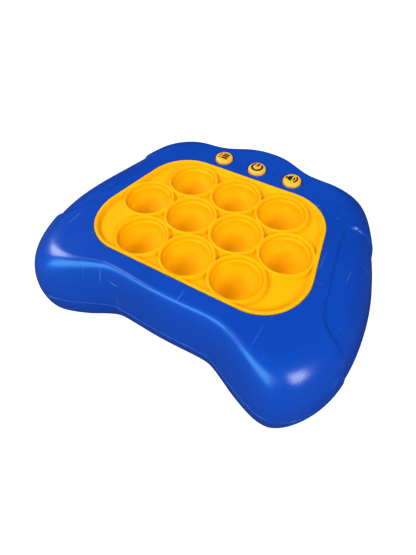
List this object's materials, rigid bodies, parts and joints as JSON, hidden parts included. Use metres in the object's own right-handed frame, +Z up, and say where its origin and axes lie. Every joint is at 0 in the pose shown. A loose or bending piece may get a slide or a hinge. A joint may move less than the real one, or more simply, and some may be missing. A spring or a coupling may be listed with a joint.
{
  "type": "electronic bubble pop game",
  "caption": "Handheld electronic press-the-light game: two-grip plastic housing, silicone pad of dished bubbles over lamps, control buttons, battery bay with screwed door and speaker.",
  "frame": {"origin": "on the surface the game rests on, under the middle of its width and depth", "axes": "+X to the player's right, +Y away from the player towards the control buttons, +Z up out of the bubble pad"},
  "size_m": [0.162, 0.1299, 0.04],
  "materials": {
    "housing_blue": "glossy moulded plastic, fine handling scratches",
    "silicone_yellow": "satin translucent silicone",
    "button_amber": "satin moulded plastic with dark printed symbols",
    "baffle_white": "matte moulded plastic",
    "board_green": "green solder mask",
    "lamp_lens": "clear moulded lens",
    "chip_black": "black potting resin",
    "switch_black": "matte moulded plastic",
    "cell_jacket": "plain printed sleeve",
    "contact_steel": "nickel plated spring steel",
    "screw_steel": "zinc plated",
    "speaker_steel": "pressed steel",
    "cone_grey": "pressed paper cone",
    "lead_red": "soft insulation",
    "lead_black": "soft insulation"
  },
  "bodies": {
    "housing": {"top_shell": "housing_blue", "bottom_shell": "housing_blue", "bubble_pad": "silicone_yellow", "light_baffle": "baffle_white", "main_board": "board_green", "led_1": "lamp_lens", "led_2": "lamp_lens", "led_3": "lamp_lens", "led_4": "lamp_lens", "led_5": "lamp_lens", "led_6": "lamp_lens", "led_7": "lamp_lens", "led_8": "lamp_lens", "led_9": "lamp_lens", "led_10": "lamp_lens", "controller_chip": "chip_black", "button_switch_menu": "switch_black", "button_switch_power": "switch_black", "button_switch_sound": "switch_black", "battery_1": "cell_jacket", "battery_2": "cell_jacket", "battery_3": "cell_jacket", "contact_positive": "contact_steel", "contact_negative": "contact_steel", "contact_bridge_front": "contact_steel", "contact_bridge_back": "contact_steel", "case_screw_1": "screw_steel", "case_screw_2": "screw_steel", "case_screw_3": "screw_steel", "case_screw_4": "screw_steel", "case_screw_5": "screw_steel", "case_screw_6": "screw_steel", "board_screw_1": "screw_steel", "board_screw_2": "screw_steel", "board_screw_3": "screw_steel", "board_screw_4": "screw_steel", "speaker_frame": "speaker_steel", "speaker_cone": "cone_grey", "battery_lead_red": "lead_red", "speaker_lead_left": "lead_red", "battery_lead_black": "lead_black", "speaker_lead_right": "lead_black"},
    "bubble_1": {"bubble_cup_1": "silicone_yellow"},
    "bubble_2": {"bubble_cup_2": "silicone_yellow"},
    "bubble_3": {"bubble_cup_3": "silicone_yellow"},
    "bubble_4": {"bubble_cup_4": "silicone_yellow"},
    "bubble_5": {"bubble_cup_5": "silicone_yellow"},
    "bubble_6": {"bubble_cup_6": "silicone_yellow"},
    "bubble_7": {"bubble_cup_7": "silicone_yellow"},
    "bubble_8": {"bubble_cup_8": "silicone_yellow"},
    "bubble_9": {"bubble_cup_9": "silicone_yellow"},
    "bubble_10": {"bubble_cup_10": "silicone_yellow"},
    "menu_button": {"button_cap_menu": "button_amber", "switch_plunger_menu": "switch_black"},
    "power_button": {"button_cap_power": "button_amber", "switch_plunger_power": "switch_black"},
    "sound_button": {"button_cap_sound": "button_amber", "switch_plunger_sound": "switch_black"},
    "door": {"battery_door": "housing_blue", "battery_door_screw": "screw_steel"}
  },
  "joints": [
    {"name": "bubble_1_press", "type": "slide", "parent": "housing", "child": "bubble_1", "axis": [0, 0, -1], "range_m": [0, 0.0025], "stiffness_N_per_m": 600},
    {"name": "bubble_2_press", "type": "slide", "parent": "housing", "child": "bubble_2", "axis": [0, 0, -1], "range_m": [0, 0.0025], "stiffness_N_per_m": 600},
    {"name": "bubble_3_press", "type": "slide", "parent": "housing", "child": "bubble_3", "axis": [0, 0, -1], "range_m": [0, 0.0025], "stiffness_N_per_m": 600},
    {"name": "bubble_4_press", "type": "slide", "parent": "housing", "child": "bubble_4", "axis": [0, 0, -1], "range_m": [0, 0.0025], "stiffness_N_per_m": 600},
    {"name": "bubble_5_press", "type": "slide", "parent": "housing", "child": "bubble_5", "axis": [0, 0, -1], "range_m": [0, 0.0025], "stiffness_N_per_m": 600},
    {"name": "bubble_6_press", "type": "slide", "parent": "housing", "child": "bubble_6", "axis": [0, 0, -1], "range_m": [0, 0.0025], "stiffness_N_per_m": 600},
    {"name": "bubble_7_press", "type": "slide", "parent": "housing", "child": "bubble_7", "axis": [0, 0, -1], "range_m": [0, 0.0025], "stiffness_N_per_m": 600},
    {"name": "bubble_8_press", "type": "slide", "parent": "housing", "child": "bubble_8", "axis": [0, 0, -1], "range_m": [0, 0.0025], "stiffness_N_per_m": 600},
    {"name": "bubble_9_press", "type": "slide", "parent": "housing", "child": "bubble_9", "axis": [0, 0, -1], "range_m": [0, 0.0025], "stiffness_N_per_m": 600},
    {"name": "bubble_10_press", "type": "slide", "parent": "housing", "child": "bubble_10", "axis": [0, 0, -1], "range_m": [0, 0.0025], "stiffness_N_per_m": 600},
    {"name": "menu_button_press", "type": "slide", "parent": "housing", "child": "menu_button", "axis": [0, 0, -1], "range_m": [0, 0.0004], "stiffness_N_per_m": 1500},
    {"name": "power_button_press", "type": "slide", "parent": "housing", "child": "power_button", "axis": [0, 0, -1], "range_m": [0, 0.0004], "stiffness_N_per_m": 1500},
    {"name": "sound_button_press", "type": "slide", "parent": "housing", "child": "sound_button", "axis": [0, 0, -1], "range_m": [0, 0.0004], "stiffness_N_per_m": 1500},
    {"name": "battery_door_swing", "type": "hinge", "parent": "housing", "child": "door", "pos_m": [-0.0312, -0.01, 0.0001], "axis": [0, 1, 0], "range_deg": [0, 75]}
  ]
}
